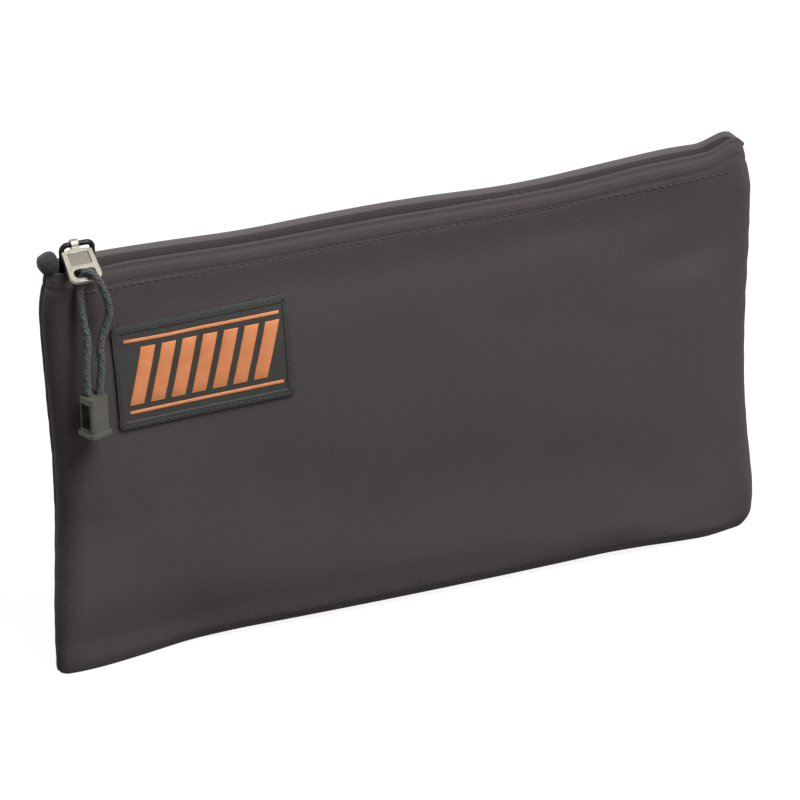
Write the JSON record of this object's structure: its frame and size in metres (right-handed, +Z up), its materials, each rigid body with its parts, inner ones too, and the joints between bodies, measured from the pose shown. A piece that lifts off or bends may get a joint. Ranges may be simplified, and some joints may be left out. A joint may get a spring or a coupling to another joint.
{
  "type": "zippered tool bag",
  "caption": "Flat upright tool bag of dark woven nylon with a zip along its top, a hanging cord pull on the slider and a plain label on the front.",
  "frame": {"origin": "middle of the flat foot that the bag stands on", "axes": "+X along the zip to the right, +Y from the front to the back, +Z up to the zip"},
  "size_m": [0.3182, 0.0369, 0.192],
  "materials": {
    "nylon_cloth": "coarse woven nylon",
    "binding_tape": "ribbed tape",
    "label_rubber": "matt moulded",
    "zip_tape": "knitted tape",
    "moulded_teeth": "moulded",
    "dark_plated_zinc": "dark plated",
    "nickel_plated_zinc": "nickel plated",
    "braided_cord": "braided",
    "cord_end_plastic": "moulded"
  },
  "bodies": {
    "bag": {"front_panel": "nylon_cloth", "seam_binding_left": "binding_tape", "seam_binding_right": "binding_tape", "seam_binding_bottom": "binding_tape", "label_patch": "label_rubber", "front_tape": "zip_tape", "front_teeth": "moulded_teeth", "front_top_stop": "moulded_teeth", "bottom_stop": "moulded_teeth", "end_tab_left": "nylon_cloth", "end_tab_right": "nylon_cloth"},
    "back_lip": {"back_panel": "nylon_cloth", "back_tape": "zip_tape", "back_teeth": "moulded_teeth", "back_top_stop": "moulded_teeth"},
    "slider": {"slider_body": "dark_plated_zinc", "slider_crown": "dark_plated_zinc"},
    "pull": {"pull_tab": "nickel_plated_zinc"},
    "cord": {"pull_cord": "braided_cord", "cord_end": "cord_end_plastic", "cord_knot": "braided_cord"}
  },
  "joints": [
    {"name": "slider_slide", "type": "slide", "parent": "bag", "child": "slider", "axis": [1, 0, 0], "range_m": [0, 0.2815], "deforming": ["front_tape", "back_tape", "front_teeth", "back_teeth"]},
    {"name": "mouth_spread", "type": "hinge", "parent": "bag", "child": "back_lip", "pos_m": [0, 0.00918, 0.002], "axis": [-1, 0, 0], "range_deg": [0, 10]},
    {"name": "pull_swing", "type": "hinge", "parent": "slider", "child": "pull", "pos_m": [-0.1418, 0, 0.1899], "axis": [-1, 0, 0], "range_deg": [0, 150]},
    {"name": "cord_swing", "type": "hinge", "parent": "pull", "child": "cord", "pos_m": [-0.1418, -0.01602, 0.18065], "axis": [-1, 0, 0], "range_deg": [0, 95]}
  ],
  "couplings": [
    {"joint": "mouth_spread", "follows": "slider_slide", "rad_per_m": 0.6188}
  ]
}
